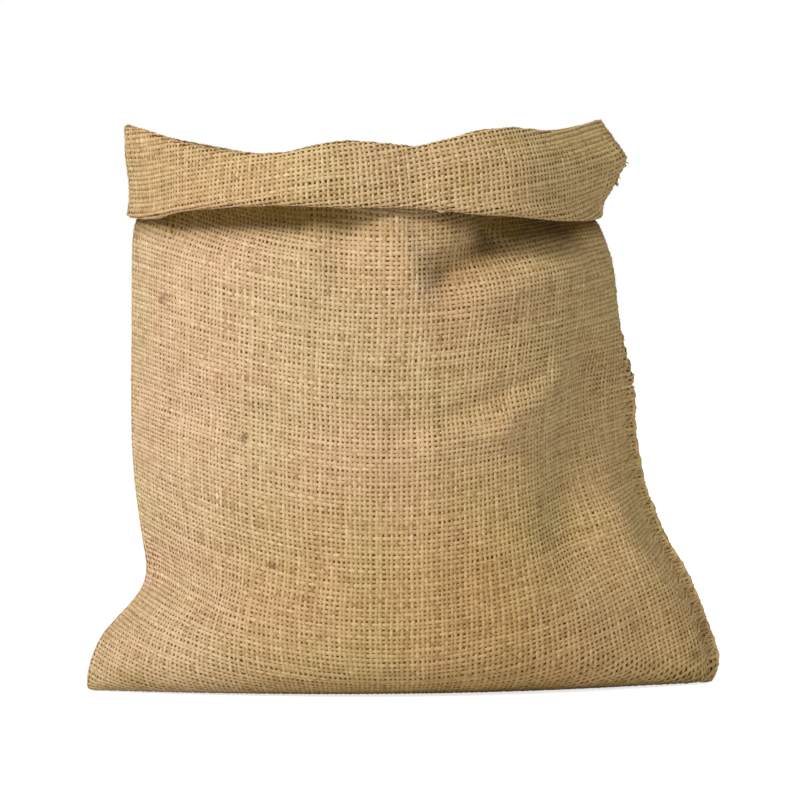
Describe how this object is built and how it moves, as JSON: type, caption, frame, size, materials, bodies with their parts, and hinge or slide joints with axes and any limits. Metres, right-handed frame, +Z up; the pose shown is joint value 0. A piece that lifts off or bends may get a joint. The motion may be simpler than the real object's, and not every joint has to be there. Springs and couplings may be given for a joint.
{
  "type": "burlap sack",
  "caption": "Standing burlap sack with an open mouth, its top turned down outside as a cuff, folded at one side and sewn at the other.",
  "frame": {"origin": "on the floor, under the middle of the sack's bounding box", "axes": "+Z up, +X along the width towards the sewn side, -Y towards the front"},
  "size_m": [0.3556, 0.1941, 0.319],
  "materials": {
    "burlap": "undyed jute in an open plain weave, matt and slightly hairy"
  },
  "bodies": {
    "root": {"sack_cloth": "burlap"}
  },
  "joints": []
}
